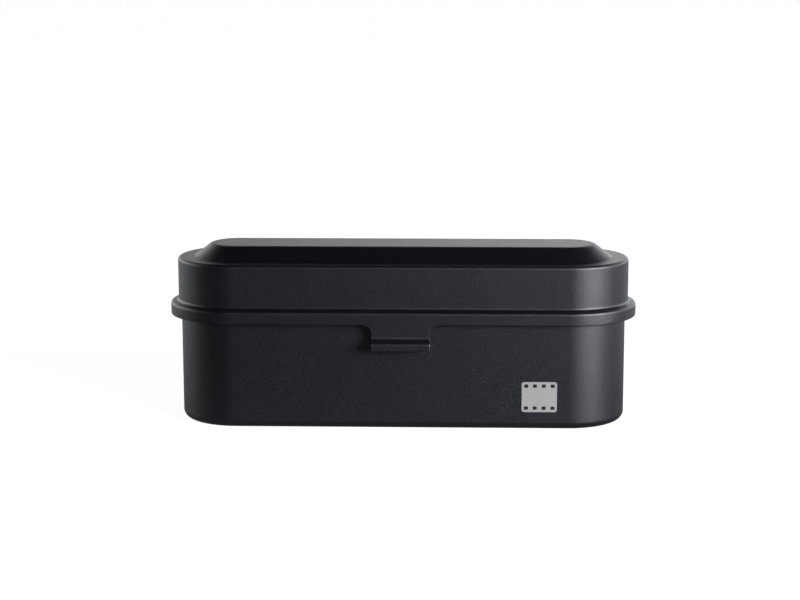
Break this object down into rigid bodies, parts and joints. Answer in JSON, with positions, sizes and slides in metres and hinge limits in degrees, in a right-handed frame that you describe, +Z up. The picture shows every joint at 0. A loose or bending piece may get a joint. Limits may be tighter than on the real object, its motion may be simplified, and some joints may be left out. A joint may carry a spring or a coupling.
{
  "type": "film case",
  "caption": "Pressed-steel case with round ends for 35 mm film cartridges, with a hinged stepped lid, a projecting band round its edge and a front finger tab.",
  "frame": {"origin": "on the flat base, under the middle of the pill-shaped plan", "axes": "+X along the case, +Z up, -Y towards the front with the finger tab"},
  "size_m": [0.15, 0.0487, 0.0571],
  "materials": {
    "case_paint": "fine-textured semi-matte black",
    "pin_steel": "plain"
  },
  "bodies": {
    "body": {"body_shell": "case_paint", "catch": "case_paint", "left_body_leaf": "case_paint", "left_hinge_pin": "pin_steel", "right_body_leaf": "case_paint", "right_hinge_pin": "pin_steel"},
    "lid": {"lid_shell": "case_paint", "left_lid_leaf": "case_paint", "right_lid_leaf": "case_paint"}
  },
  "joints": [
    {"name": "lid_hinge", "type": "hinge", "parent": "body", "child": "lid", "pos_m": [0, 0.02343, 0.0331], "axis": [-1, 0, 0], "range_deg": [0, 180]}
  ]
}
